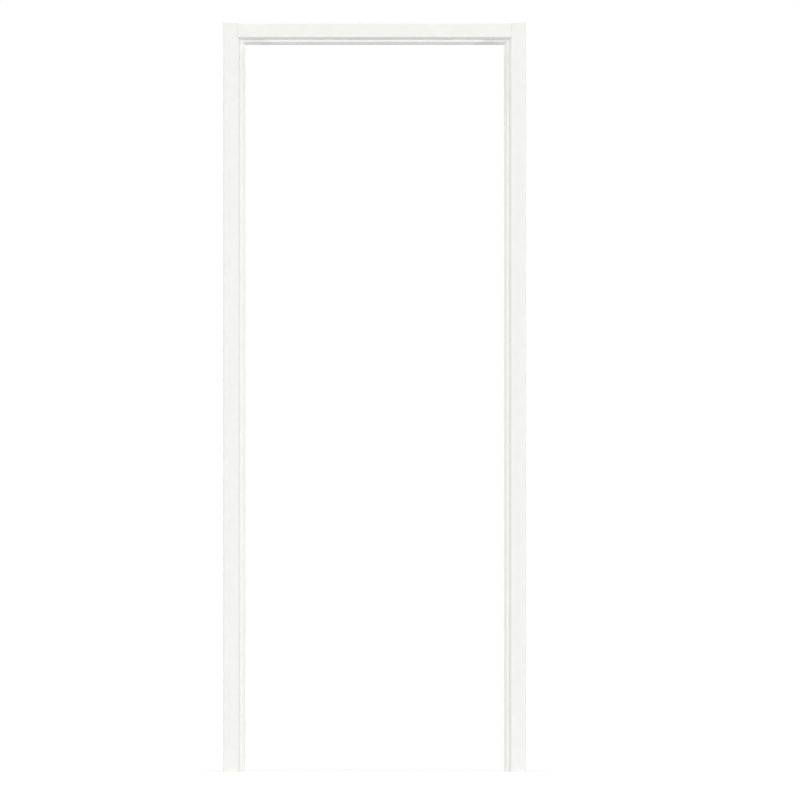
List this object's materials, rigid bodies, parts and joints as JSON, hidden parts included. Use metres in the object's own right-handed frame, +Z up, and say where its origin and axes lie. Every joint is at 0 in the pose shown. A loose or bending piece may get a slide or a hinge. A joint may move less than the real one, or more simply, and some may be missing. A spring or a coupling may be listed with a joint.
{
  "type": "aluminium door frame",
  "caption": "Rebated aluminium door lining frame with flat casings round both sides of a wall, a bevelled stop and a bulb seal.",
  "frame": {"origin": "on the floor, in the middle of the frame's width and depth", "axes": "+Z up the jambs, +X across the doorway, -Y towards the side that the leaf closes from"},
  "size_m": [0.848, 0.1, 2.1],
  "materials": {
    "coated_bars": "satin",
    "coated_casings": "satin",
    "seal": "matte",
    "bracket_steel": "satin",
    "screw_steel": "satin"
  },
  "bodies": {
    "root": {"left_liner": "coated_bars", "right_liner": "coated_bars", "head_liner": "coated_bars", "left_front_trim": "coated_casings", "right_front_trim": "coated_casings", "head_front_trim": "coated_casings", "left_back_trim": "coated_casings", "right_back_trim": "coated_casings", "head_back_trim": "coated_casings", "left_seal": "seal", "right_seal": "seal", "head_seal": "seal", "left_corner_bracket": "bracket_steel", "right_corner_bracket": "bracket_steel", "left_corner_screws": "screw_steel", "right_corner_screws": "screw_steel"}
  },
  "joints": []
}
